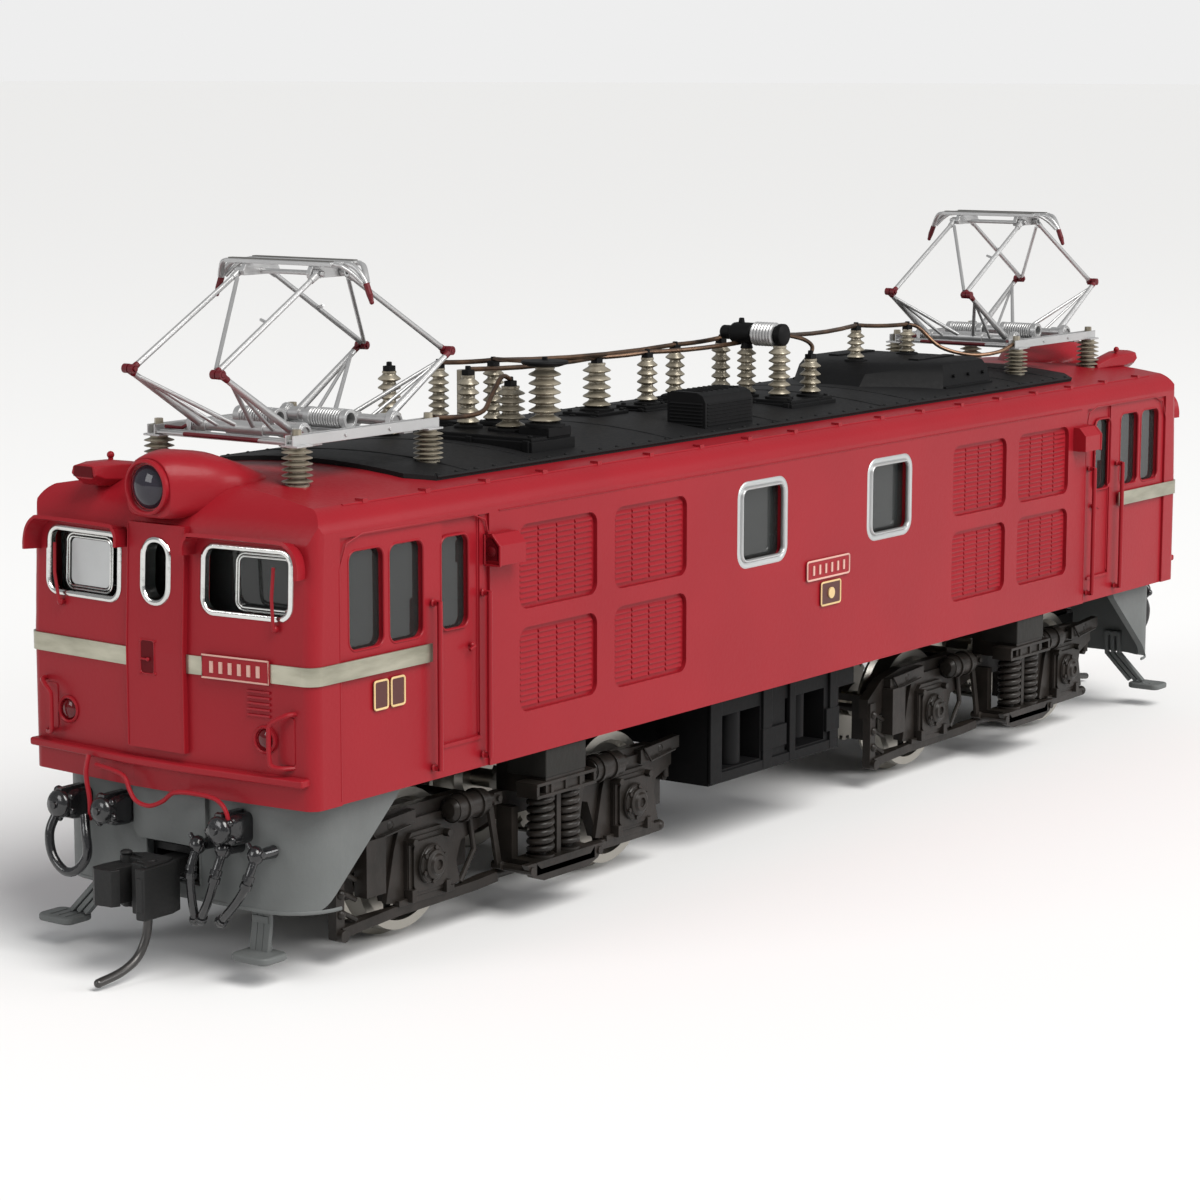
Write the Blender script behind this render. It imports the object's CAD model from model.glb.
import math
import random

import bmesh
import bpy
from mathutils import Matrix, Vector


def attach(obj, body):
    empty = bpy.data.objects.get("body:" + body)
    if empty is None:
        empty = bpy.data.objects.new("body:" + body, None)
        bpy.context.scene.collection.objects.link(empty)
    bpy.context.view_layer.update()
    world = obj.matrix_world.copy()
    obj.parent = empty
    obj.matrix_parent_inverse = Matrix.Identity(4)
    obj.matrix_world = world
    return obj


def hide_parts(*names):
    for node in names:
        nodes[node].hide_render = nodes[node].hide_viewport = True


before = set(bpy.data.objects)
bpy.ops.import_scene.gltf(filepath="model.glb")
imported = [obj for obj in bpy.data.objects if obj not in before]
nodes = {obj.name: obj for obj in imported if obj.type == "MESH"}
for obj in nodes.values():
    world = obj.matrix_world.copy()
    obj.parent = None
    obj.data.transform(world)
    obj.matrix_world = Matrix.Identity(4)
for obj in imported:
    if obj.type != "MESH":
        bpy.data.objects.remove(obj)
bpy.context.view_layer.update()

# Every size below is in millimetres of the row frame, and MM turns it into metres.
MM = 0.001
ENDS = (("front", -1), ("rear", 1))


# ---------------------------------------------------------------- camera, stage and light
def add_camera():
    """The camera fitted to the photograph."""
    data = bpy.data.cameras.new("camera")
    data.lens = 98.62
    data.sensor_width = 36.0
    data.clip_start, data.clip_end = 0.01, 50.0
    camera = bpy.data.objects.new("camera", data)
    camera.location = (-0.30180, -0.20476, 0.08170)
    camera.rotation_euler = [math.radians(a) for a in (80.927, -0.074, -54.17)]
    bpy.context.scene.collection.objects.link(camera)
    bpy.context.scene.camera = camera


def add_light(name, kind, place, strength, colour=(1, 1, 1), spread=0.0, size=(1, 1)):
    """A sun with an angular spread, or an area lamp of a given size, aimed at the model."""
    data = bpy.data.lights.new(name, kind)
    data.energy = strength
    data.color = colour
    if kind == "SUN":
        data.angle = math.radians(spread)
    else:
        data.shape = "RECTANGLE"
        data.size, data.size_y = size
    light = bpy.data.objects.new(name, data)
    light.location = place
    light.rotation_euler = (Vector((0, 0, 0.03)) - Vector(place)).to_track_quat("-Z", "Y").to_euler()
    bpy.context.scene.collection.objects.link(light)


def add_stage():
    """Pale floor, a world that looks near white to the camera only, and the three lamps."""
    bpy.ops.mesh.primitive_plane_add(size=60.0, location=(0, 0, 0))
    floor = bpy.context.object
    floor.name = "floor"
    pale, shader = new_material("floor_pale")
    shader.inputs["Base Color"].default_value = (0.80, 0.80, 0.80, 1)
    shader.inputs["Roughness"].default_value = 0.9
    shader.inputs["Specular IOR Level"].default_value = 0.1
    floor.data.materials.append(pale)
    world = bpy.data.worlds.new("studio")
    world.use_nodes = True
    tree = world.node_tree
    seen, sky = tree.nodes["Background"], tree.nodes.new("ShaderNodeBackground")
    ray, mix = tree.nodes.new("ShaderNodeLightPath"), tree.nodes.new("ShaderNodeMixShader")
    sky.inputs["Color"].default_value = (0.96, 0.98, 1.0, 1)
    sky.inputs["Strength"].default_value = 0.34
    seen.inputs["Color"].default_value = (0.93, 0.93, 0.93, 1)
    seen.inputs["Strength"].default_value = 0.92
    tree.links.new(ray.outputs["Is Camera Ray"], mix.inputs["Fac"])
    tree.links.new(sky.outputs["Background"], mix.inputs[1])
    tree.links.new(seen.outputs["Background"], mix.inputs[2])
    tree.links.new(mix.outputs["Shader"], tree.nodes["World Output"].inputs["Surface"])
    bpy.context.scene.world = world
    bpy.context.scene.view_settings.view_transform = "Standard"
    add_light("key_sun", "SUN", (-0.25, -1.10, 1.35), 3.1, (1.0, 0.985, 0.96), spread=38)
    add_light("side_panel", "AREA", (0.35, -0.70, 0.30), 2.4, size=(0.5, 0.25))
    add_light("front_panel", "AREA", (-0.75, 0.25, 0.35), 1.6, size=(0.35, 0.35))


# ---------------------------------------------------------------- materials
def new_material(name):
    """A new node material and its main shader."""
    material = bpy.data.materials.new(name)
    material.use_nodes = True
    return material, material.node_tree.nodes["Principled BSDF"]


def surface(name, colour, roughness, metallic=0.0, vary=0.08, grain=900.0, bump=0.04, coat=0.0, tint=None,
            patch=120.0, stretch=(1, 1, 1), rough_vary=0.08, gloss=0.5):
    """A procedural finish: broad colour patches, fine grain in the bump and uneven roughness."""
    material, shader = new_material(name)
    tree = material.node_tree
    make, join = tree.nodes.new, tree.links.new
    place = make("ShaderNodeTexCoord")
    scale = make("ShaderNodeMapping")
    scale.inputs["Scale"].default_value = stretch
    join(place.outputs["Object"], scale.inputs["Vector"])
    broad, fine = make("ShaderNodeTexNoise"), make("ShaderNodeTexNoise")
    broad.inputs["Scale"].default_value = patch
    broad.inputs["Detail"].default_value = 4
    fine.inputs["Scale"].default_value = grain
    fine.inputs["Detail"].default_value = 3
    for noise in (broad, fine):
        join(scale.outputs["Vector"], noise.inputs["Vector"])
    ramp = make("ShaderNodeValToRGB")
    other = tint or [c * (1 - 2 * vary) for c in colour]
    ramp.color_ramp.elements[0].position = 0.32
    ramp.color_ramp.elements[0].color = (*other, 1)
    ramp.color_ramp.elements[1].position = 0.68
    ramp.color_ramp.elements[1].color = (*colour, 1)
    join(broad.outputs["Fac"], ramp.inputs["Fac"])
    join(ramp.outputs["Color"], shader.inputs["Base Color"])
    spread = make("ShaderNodeMapRange")
    spread.inputs["To Min"].default_value = max(roughness - rough_vary, 0.02)
    spread.inputs["To Max"].default_value = min(roughness + rough_vary, 1.0)
    join(fine.outputs["Fac"], spread.inputs["Value"])
    join(spread.outputs["Result"], shader.inputs["Roughness"])
    relief = make("ShaderNodeBump")
    relief.inputs["Strength"].default_value = bump
    relief.inputs["Distance"].default_value = 0.0004
    join(fine.outputs["Fac"], relief.inputs["Height"])
    join(relief.outputs["Normal"], shader.inputs["Normal"])
    shader.inputs["Metallic"].default_value = metallic
    shader.inputs["Specular IOR Level"].default_value = gloss
    shader.inputs["Coat Weight"].default_value = coat
    return material


def glass(name, colour, roughness, transmission):
    """A clear or tinted finish with a faint procedural ripple."""
    material, shader = new_material(name)
    tree = material.node_tree
    place, noise = tree.nodes.new("ShaderNodeTexCoord"), tree.nodes.new("ShaderNodeTexNoise")
    relief = tree.nodes.new("ShaderNodeBump")
    noise.inputs["Scale"].default_value = 90.0
    relief.inputs["Strength"].default_value = 0.05
    relief.inputs["Distance"].default_value = 0.0003
    tree.links.new(place.outputs["Object"], noise.inputs["Vector"])
    tree.links.new(noise.outputs["Fac"], relief.inputs["Height"])
    tree.links.new(relief.outputs["Normal"], shader.inputs["Normal"])
    shader.inputs["Base Color"].default_value = (*colour, 1)
    shader.inputs["Roughness"].default_value = roughness
    shader.inputs["Transmission Weight"].default_value = transmission
    shader.inputs["IOR"].default_value = 1.45
    return material


RED = surface("red_paint", (0.268, 0.0088, 0.0155), 0.38, vary=0.05, grain=2600, bump=0.05, coat=0.04,
              patch=60, gloss=0.19)
DEEP_RED = surface("red_recess", (0.10, 0.003, 0.006), 0.5, vary=0.1, grain=2600, bump=0.05, gloss=0.1)
NICKEL = surface("nickel_band", (0.47, 0.45, 0.36), 0.32, metallic=0.9, tint=(0.27, 0.26, 0.20), grain=2600,
                 bump=0.05, patch=420, stretch=(0.35, 0.35, 1.6), rough_vary=0.08)
CHROME = surface("chrome_trim", (0.72, 0.72, 0.70), 0.17, metallic=1.0, vary=0.08, grain=2000, bump=0.04,
                 rough_vary=0.06)
SATIN = surface("satin_silver", (0.56, 0.57, 0.57), 0.38, metallic=0.75, vary=0.06, grain=2200, bump=0.05)
GREY = surface("grey_casting", (0.125, 0.132, 0.130), 0.52, vary=0.08, grain=1500, bump=0.10, patch=180,
               gloss=0.25)
BOGIE = surface("bogie_paint", (0.022, 0.018, 0.0155), 0.38, tint=(0.009, 0.0075, 0.006), grain=1300,
                bump=0.08, patch=260, gloss=0.26)
STEEL = surface("turned_steel", (0.42, 0.40, 0.36), 0.34, metallic=1.0, vary=0.04, grain=4200, bump=0.012,
                patch=70, rough_vary=0.04)
BLACK = surface("black_satin", (0.007, 0.007, 0.0074), 0.50, vary=0.12, grain=1600, bump=0.05, gloss=0.09)
DECK = surface("black_deck", (0.012, 0.012, 0.0125), 0.55, vary=0.12, grain=1800, bump=0.06, patch=90,
               gloss=0.12)
GLOSS = surface("black_lacquer", (0.010, 0.010, 0.011), 0.20, vary=0.1, grain=1200, bump=0.22, coat=0.4)
MOULDED = surface("black_moulded", (0.014, 0.014, 0.014), 0.48, vary=0.08, grain=2000, bump=0.10, gloss=0.25)
CLAY = surface("insulator_khaki", (0.40, 0.36, 0.285), 0.30, metallic=0.45, tint=(0.20, 0.175, 0.13),
               grain=1500, bump=0.08, patch=420)
SILVER = surface("pantograph_silver", (0.48, 0.48, 0.48), 0.34, metallic=0.6, vary=0.05, grain=2200,
                 bump=0.03, patch=160)
CARBON = surface("wear_strip", (0.17, 0.165, 0.155), 0.42, metallic=0.6, vary=0.15, grain=2000, bump=0.06,
                 patch=300)
STEEL_DARK = surface("blued_steel", (0.075, 0.072, 0.070), 0.34, metallic=0.7, grain=2400, bump=0.04)
BOLSTER = surface("bolster_dark", (0.020, 0.019, 0.017), 0.5, grain=1500, bump=0.1, gloss=0.16)
TIP = surface("dark_red_tip", (0.12, 0.007, 0.012), 0.42, vary=0.15, grain=1600, bump=0.15, gloss=0.3)
COPPER = surface("bare_copper", (0.20, 0.115, 0.070), 0.34, metallic=0.8, tint=(0.045, 0.030, 0.022),
                 grain=1500, bump=0.08, patch=300)
BRASS = surface("worm_brass", (0.60, 0.42, 0.18), 0.30, metallic=1.0, grain=1800)
LEAD = surface("cast_weight", (0.20, 0.20, 0.21), 0.6, metallic=0.6, grain=900, bump=0.2)
GOLD = surface("plate_gold", (0.70, 0.50, 0.24), 0.42, metallic=0.2, grain=2000)
CREAM = surface("plate_cream", (0.62, 0.36, 0.30), 0.45, grain=2000, vary=0.1)
PLATE = surface("plate_brown", (0.070, 0.012, 0.009), 0.42, grain=2400, vary=0.1)
PANE = glass("window_pane", (0.11, 0.12, 0.118), 0.03, 0.85)
LENS = glass("lamp_lens", (0.034, 0.031, 0.044), 0.02, 0.35)
TAIL = glass("tail_lens", (0.10, 0.003, 0.005), 0.06, 0.1)

FINISHES = {
    "body_shell": RED, "sun_visors": RED, "pilots": GREY, "window_glazing": PANE, "waist_bands": NICKEL,
    "roof_plate": DECK, "chassis_frame": BLACK, "frame_screws": STEEL, "motor": BLACK, "motor_mount": SATIN,
    "ballast": LEAD, "underfloor_box": BLACK, "motor_shaft": STEEL, "coupler_boxes": MOULDED,
    "side_grilles": RED, "window_frames": CHROME, "side_handrails": RED, "headlight_housings": RED,
    "lamp_lenses": LENS, "wipers": RED, "blank_plates": PLATE, "whistles": RED, "marker_boxes": RED,
    "front_pipes": RED, "roof_boxes": BLACK, "equipment_trays": BLACK, "roof_insulators": CLAY,
    "bus_bars": COPPER, "air_blast_breaker": BLACK, "footsteps": GREY, "jumper_cables": GLOSS,
    "air_hoses": GLOSS, "panto_insulators": CLAY, "panto_bases": SILVER,
}
for end, side in ENDS:
    FINISHES.update({f"bogie_frame_{end}": BOGIE, f"bogie_springs_{end}": BOGIE, f"brake_gear_{end}": BOGIE,
                     f"worm_shaft_{end}": BRASS, f"coupler_head_{end}": MOULDED,
                     f"coupler_knuckle_{end}": MOULDED, f"panto_head_{end}": SILVER})
    for place in ("lower_outer", "lower_inner", "upper_outer", "upper_inner"):
        FINISHES[f"panto_{place}_{end}"] = SILVER
for number in range(1, 5):
    FINISHES[f"wheelset_{number}"] = STEEL
for name, finish in FINISHES.items():
    mesh = nodes[name].data
    mesh.materials.clear()
    mesh.materials.append(finish)


# ---------------------------------------------------------------- shapes
class Shape:
    """Collects closed solids, in millimetres of the row frame, and makes one piece of them."""

    def __init__(self, to=None):
        self.bm = bmesh.new()
        self.to = Matrix.Identity(4) if to is None else to

    def skin(self, rings, loop=False):
        """Closed surface through rings of points; loop joins the last ring to the first."""
        rows = [[self.bm.verts.new(self.to @ Vector(p)) for p in ring] for ring in rings]
        for i in range(len(rows) if loop else len(rows) - 1):
            near, far = rows[i], rows[(i + 1) % len(rows)]
            for j in range(len(near)):
                k = (j + 1) % len(near)
                self.bm.faces.new((near[j], near[k], far[k], far[j]))
        if not loop:
            self.bm.faces.new(rows[0][::-1])
            self.bm.faces.new(rows[-1])

    def prism(self, outline, axis, low, high):
        """An outline in the other two axes, carried from low to high along axis."""
        def lift(u, v, w):
            return {"X": (w, u, v), "Y": (u, w, v), "Z": (u, v, w)}[axis]
        self.skin([[lift(u, v, w) for u, v in outline] for w in (low, high)])

    def block(self, xs, ys, zs):
        """A box between two values along each axis."""
        x0, x1, y0, y1 = *xs, *ys
        self.prism([(x0, y0), (x1, y0), (x1, y1), (x0, y1)], "Z", *zs)

    def lathe(self, profile, origin, axis, sides=28, loop=False):
        """A profile of (radius, height) pairs turned about axis through origin."""
        turn = Vector(axis).to_track_quat("Z", "Y")
        angles = [2 * math.pi * i / sides for i in range(sides)]
        rings = []
        for radius, height in profile:
            ring = [(radius * math.cos(a), radius * math.sin(a), height) for a in angles]
            rings.append([Vector(origin) + turn @ Vector(p) for p in ring])
        self.skin(rings, loop)

    def rod(self, start, end, radius, tip=None, sides=14):
        """A round rod, tapering to the radius tip if that is given."""
        along = Vector(end) - Vector(start)
        self.lathe([(radius, 0), (radius if tip is None else tip, along.length)], start, along, sides)

    def ball(self, centre, radius, axis=(0, 0, 1), flat=1.0, sides=18):
        """A ball with small flat poles, squashed along axis by flat."""
        steps = 8
        angles = [math.pi * (i + 0.35) / (steps - 0.3) for i in range(steps)]
        profile = [(radius * math.sin(a), -radius * flat * math.cos(a)) for a in angles]
        self.lathe(profile, centre, axis, sides)

    def sweep(self, path, wide, high=None, sides=10, loop=False, up=(0, 0, 1), square=False):
        """An oval, or with square a rectangular, section of half sizes wide and high along a path."""
        high = wide if high is None else high
        points = [Vector(p) for p in path]
        count, rings = len(points), []
        side = None
        for i, point in enumerate(points):
            before = points[i - 1] if i or loop else point
            after = points[(i + 1) % count] if i < count - 1 or loop else point
            along = (after - before).normalized()
            if side is None:
                side = along.cross(Vector(up))
                if side.length < 1e-4:
                    side = along.cross(Vector((0.3, 1, 0.2)))
            side = (side - along * side.dot(along)).normalized()
            lift = side.cross(along)
            if square:
                section = ((-wide, -high), (wide, -high), (wide, high), (-wide, high))
            else:
                turns = [2 * math.pi * j / sides for j in range(sides)]
                section = [(wide * math.cos(a), high * math.sin(a)) for a in turns]
            rings.append([point + side * u + lift * v for u, v in section])
        self.skin(rings, loop)

    def turned(self):
        """Adds a copy turned half round about the vertical axis."""
        return self.copied(Matrix.Rotation(math.pi, 4, "Z"))

    def mirrored(self, axis):
        """Adds a mirrored copy across the plane square to axis."""
        return self.copied(Matrix.Diagonal([-1 if a == axis else 1 for a in "XYZ"] + [1]))

    def copied(self, matrix):
        """Adds a copy of everything so far, moved by matrix."""
        present = self.bm.verts[:] + self.bm.edges[:] + self.bm.faces[:]
        made = bmesh.ops.duplicate(self.bm, geom=present)["geom"]
        verts = [g for g in made if isinstance(g, bmesh.types.BMVert)]
        bmesh.ops.transform(self.bm, matrix=matrix, verts=verts)
        return self

    def done(self, name, body, finish, slot, replaces=(), bevel=0.0, angle=34):
        bmesh.ops.recalc_face_normals(self.bm, faces=self.bm.faces)
        bmesh.ops.scale(self.bm, vec=(MM, MM, MM), verts=self.bm.verts)
        for edge in self.bm.edges:
            edge.smooth = edge.calc_face_angle(0.0) < math.radians(angle)
        for face in self.bm.faces:
            face.smooth = True
        mesh = bpy.data.meshes.new(name)
        self.bm.to_mesh(mesh)
        self.bm.free()
        mesh.materials.append(finish)
        piece = bpy.data.objects.new(name, mesh)
        bpy.context.scene.collection.objects.link(piece)
        if bevel:
            rounding = piece.modifiers.new("rounding", "BEVEL")
            rounding.width = bevel * MM
            rounding.segments = 2
            rounding.limit_method = "ANGLE"
            rounding.angle_limit = math.radians(angle)
            rounding.harden_normals = True
        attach(piece, body)
        if replaces:
            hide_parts(*replaces)
        return piece


def smooth(points, steps=6):
    """Points of a Catmull-Rom curve through the given ones."""
    rows = [Vector(p) for p in points]
    rows = [2 * rows[0] - rows[1]] + rows + [2 * rows[-1] - rows[-2]]
    curve = []
    for a, b, c, d in zip(rows, rows[1:], rows[2:], rows[3:]):
        for i in range(steps):
            t = i / steps
            curve.append(0.5 * (2 * b + (c - a) * t + (2 * a - 5 * b + 4 * c - d) * t**2
                                + (3 * b - a - 3 * c + d) * t**3))
    return curve + [rows[-2]]


def rounded(width, height, radius, centre=(0, 0), steps=5):
    """Outline of a rectangle with round corners, as (u, v) points."""
    points = []
    for quarter, (su, sv) in enumerate(((1, 1), (-1, 1), (-1, -1), (1, -1))):
        for i in range(steps + 1):
            angle = math.pi / 2 * (quarter + i / steps)
            points.append((centre[0] + su * (width / 2 - radius) + radius * math.cos(angle),
                           centre[1] + sv * (height / 2 - radius) + radius * math.sin(angle)))
    return points


# ---------------------------------------------------------------- the body's form, as in the frame
NOSE, SHOULDER, DOOR_HALF, HALF_WIDTH = 86.6, 85.5, 3.46, 17.5
CREASE, LEAN, ROOF_TOP = 30.0, 0.75, 45.2
GUTTER_Y, GUTTER_Z = 15.8, 43.85
DECK_T = 0.45


def front_x(y, z):
    """Distance of the cab front from the middle at a point beside the door."""
    slope = (NOSE - SHOULDER) / (HALF_WIDTH - DOOR_HALF)
    return NOSE - (abs(y) - DOOR_HALF) * slope - LEAN * max(z - CREASE, 0) / (ROOF_TOP + 1 - CREASE)


def door_x(z):
    """Distance of the door strip's face from the middle."""
    return 87.15 - 0.55 * max(z - CREASE, 0) / 11.6


def roof_z(y):
    """Height of the arched roof at a distance from the centre line."""
    rise = ROOF_TOP - GUTTER_Z
    radius = (GUTTER_Y**2 + rise**2) / (2 * rise)
    return ROOF_TOP - radius + math.sqrt(radius**2 - y**2)


def deck_z(y):
    """Height of the black deck plate that lies on the roof."""
    return roof_z(y) + DECK_T


# ---------------------------------------------------------------- body sides
# Windows as x and z of the centre, width and height; each stands at both ends, at plus and minus x.
MIDDLE_WINDOW = (13.0, 35.15, 8.6, 8.1)
CAB_WINDOWS = ((77.8, 35.25, 5.0, 9.1), (72.1, 35.25, 5.0, 9.1), (65.0, 35.2, 4.2, 8.8))


def louvre_panels():
    """Filter panels: a sunk plate with four columns of small pressed louvres."""
    shape = Shape()
    columns, rows, pitch, width, gap, sunk, proud = 4, 14, 0.53, 2.72, 0.26, 0.44, 0.17
    for x in (-49.1, -33.5, 33.5, 49.1):
        for z in (35.4, 25.4):
            shape.to = Matrix.Translation((x, -HALF_WIDTH, z))
            shape.prism(rounded(12.58, 8.18, 1.2), "Y", sunk, sunk + 0.48)
            for column in range(columns):
                left = (column - columns / 2) * (width + gap) + gap / 2
                for row in range(rows):
                    low = (row - rows / 2) * pitch
                    shape.prism([(sunk + 0.02, low + 0.50), (sunk - proud, low + 0.16),
                                 (sunk - proud + 0.03, low + 0.07), (sunk + 0.02, low + 0.03)], "X", left,
                                left + width)
    shape.mirrored("Y").done("louvre_panels", "body", RED, "body_paint", ["side_grilles"])


def side_window_frames():
    """Bright frames of the middle windows and red gaskets of the cab side windows."""
    shape = Shape()
    x, z, width, height = MIDDLE_WINDOW
    for end in (-1, 1):
        for grow, wide, proud in ((0.5, 0.34, 0.12), (-0.45, 0.16, 0.30)):
            outline = rounded(width + grow, height + grow, 1.2 + grow / 2, (end * x, z), 7)
            ring = [(u, -HALF_WIDTH + 0.04, v) for u, v in outline]
            shape.sweep(ring, wide, proud, loop=True, up=(0, 1, 0))
    shape.mirrored("Y").done("middle_window_frames", "body", SATIN, "nickel_trim", ["window_frames"])
    shape = Shape()
    for x, z, width, height in CAB_WINDOWS:
        for end in (-1, 1):
            outline = rounded(width + 0.02, height + 0.02, 1.0, (end * x, z), 6)
            ring = [(u, -HALF_WIDTH + 0.34, v) for u, v in outline]
            shape.sweep(ring, 0.13, 0.16, loop=True, up=(0, 1, 0))
    shape.mirrored("Y").done("cab_side_gaskets", "body", RED, "body_paint")


def side_trim():
    """Gutters, cab recess edges, door seams, handles and the handrails."""
    shape = Shape()
    # rain gutter, the strip between the cab recesses, and the small tabs on the gutter
    shape.sweep([(-79.5, -15.9, 43.75), (79.5, -15.9, 43.75)], 0.22, 0.16, sides=8)
    shape.sweep([(-58.6, -HALF_WIDTH, 41.25), (58.6, -HALF_WIDTH, 41.25)], 0.10, 0.07, sides=8)
    for i in range(18):
        x = -76.5 + 9.0 * i
        shape.block((x - 0.35, x + 0.35), (-16.15, -15.2), (43.68, 44.12))
    for end in (-1, 1):
        # raised moulding round the cab recess, square at its foot and round at the top
        edge = [(end * 60.0, 17.4), (end * 60.0, 38.6), (end * 60.7, 40.6), (end * 62.6, 41.3),
                (end * 78.6, 41.3), (end * 80.8, 40.6), (end * 81.8, 38.4), (end * 81.8, 17.4)]
        shape.sweep([(u, -HALF_WIDTH + 0.02, v) for u, v in edge], 0.09, 0.07, sides=8, up=(0, 1, 0))
        # door leaf seams, sill, hinge knuckles and handle
        for x in (61.35, 66.85):
            seam = [(end * x, -HALF_WIDTH + 0.47, z) for z in (20.4, 40.9)]
            shape.sweep(seam, 0.12, 0.09, sides=8)
        shape.block(sorted((end * 61.2, end * 67.0)), (-HALF_WIDTH + 0.1, -HALF_WIDTH + 0.55), (19.75, 20.1))
        shape.ball((end * 62.5, -HALF_WIDTH + 0.2, 28.9), 0.34, (0, 1, 0), 0.8, 12)
        grip = -HALF_WIDTH - 0.15
        shape.rod((end * 62.5, grip, 28.9), (end * 63.3, grip, 28.6), 0.13, 0.16)
    shape.turned().done("side_mouldings", "body", RED, "body_paint")
    shape = Shape()
    out, low, high = -HALF_WIDTH - 0.73, 18.2, 33.7
    for end in (-1, 1):
        for x in (61.0, 68.5):
            loop = [(end * x, y, z) for y, z in
                    ((-HALF_WIDTH + 0.2, low), (out + 0.15, low + 0.02), (out, low + 0.5),
                     (out, (low + high) / 2), (out, high - 0.5), (out + 0.15, high - 0.02),
                     (-HALF_WIDTH + 0.2, high))]
            shape.sweep(smooth(loop), 0.27, sides=10, up=(1, 0, 0))
            for z in (low, high):
                shape.ball((end * x, -HALF_WIDTH - 0.02, z), 0.42, (0, 1, 0), 0.45, 12)
    shape.turned().done("grab_rails", "body", RED, "body_paint", ["side_handrails"])


def side_markers():
    """Side lamp boxes with a sloped top, and a dark face and lens on their cab end."""
    shape = Shape()
    out = HALF_WIDTH + 1.7
    profile = [(-HALF_WIDTH + 0.1, 36.3), (-out, 36.3), (-out, 38.2), (-out + 0.9, 39.2),
               (-HALF_WIDTH + 0.1, 39.2)]
    inner = [(-HALF_WIDTH - 0.1, 36.75), (-out + 0.35, 36.75), (-out + 0.35, 38.0), (-out + 1.0, 38.8),
             (-HALF_WIDTH - 0.1, 38.8)]
    shape.prism(profile, "X", -60.5, -56.6)
    lip = [(-60.62, u, v) for u, v in profile + profile[:1]]
    shape.sweep(lip, 0.13, 0.17, sides=8, up=(1, 0, 0))
    shape.mirrored("X").mirrored("Y").done("marker_hoods", "body", RED, "body_paint", ["marker_boxes"], 0.16)
    shape = Shape()
    shape.prism(inner, "X", -60.66, -60.4)
    shape.ball((-60.7, -HALF_WIDTH - 0.75, 37.6), 0.5, (1, 0, 0), 0.5)
    shape.mirrored("X").mirrored("Y").done("marker_lenses", "body", DEEP_RED, "body_paint")


def plates():
    """Blank number, maker and class plates: a raised rim round a plain field with plain bars."""
    number = (Shape(), Shape())
    small = (Shape(), Shape())
    side = -HALF_WIDTH

    def side_plate(shapes, x0, x1, z0, z1, bars=0, depth=0.0):
        rims, field = shapes
        face = side - 0.22 + depth
        outline = rounded(x1 - x0, z1 - z0, 0.25, ((x0 + x1) / 2, (z0 + z1) / 2), 3)
        field.prism(outline, "Y", face, side + depth + 0.2)
        rims.sweep([(u, face, v) for u, v in outline], 0.11, 0.08, sides=8, loop=True, up=(0, 1, 0))
        for i in range(bars):
            x = x0 + (x1 - x0) * (i + 1) / (bars + 1)
            rims.block((x - 0.17, x + 0.17), (face - 0.1, face + 0.05), (z0 + 0.5, z1 - 0.5))

    side_plate(number, -4.4, 4.2, 27.75, 29.8, bars=6)
    side_plate(small, -1.5, 2.4, 24.7, 27.2)
    boss = [(0.05, 0), (0.62, 0), (0.62, 0.16), (0.05, 0.16)]
    small[0].lathe(boss, (0.45, side - 0.2, 25.95), (0, -1, 0), 20)
    for x in (-76.1, -73.7):
        side_plate(small, x - 0.95, x + 0.95, 24.95, 27.55, depth=0.25)
    # plate on the cab front's band
    corners = ((-5.5, 28.2), (-12.9, 28.2), (-12.9, 30.25), (-5.5, 30.25))
    number[1].skin([[(-front_x(y, 28) - out, y, z) for y, z in corners] for out in (0.1, 0.42)])
    number[0].sweep([(-front_x(y, 28) - 0.42, y, z) for y, z in corners], 0.09, 0.09, sides=6, loop=True,
                    up=(1, 0, 0))
    for i in range(6):
        y = -6.6 - 1.04 * i
        x = -front_x(y, 28) - 0.42
        number[0].block((x - 0.12, x + 0.05), (y - 0.18, y + 0.18), (28.7, 29.75))
    number[0].turned().done("number_plate_rims", "body", CREAM, "plate_silver", ["blank_plates"])
    number[1].turned().done("number_plate_fields", "body", RED, "body_paint")
    small[0].turned().done("small_plate_rims", "body", GOLD, "plate_silver")
    small[1].turned().done("small_plate_fields", "body", PLATE, "plate_silver")


# ---------------------------------------------------------------- cab fronts
CAB_WINDOW_Y, CAB_WINDOW_Z, CAB_WINDOW_WIDE, CAB_WINDOW_HIGH = 10.05, 37.07, 9.8, 6.05
SASH_Z = CAB_WINDOW_Z - 0.05
TAIL_LAMP_Y, TAIL_LAMP_Z = 12.2, 23.1
HEADLIGHT_Z = 45.05


def on_front(y, z, out=0.0):
    """Point of the -X cab front, out millimetres in front of it."""
    distance = door_x(z) if abs(y) < DOOR_HALF else front_x(y, z)
    return (-distance - out, y, z)


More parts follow.
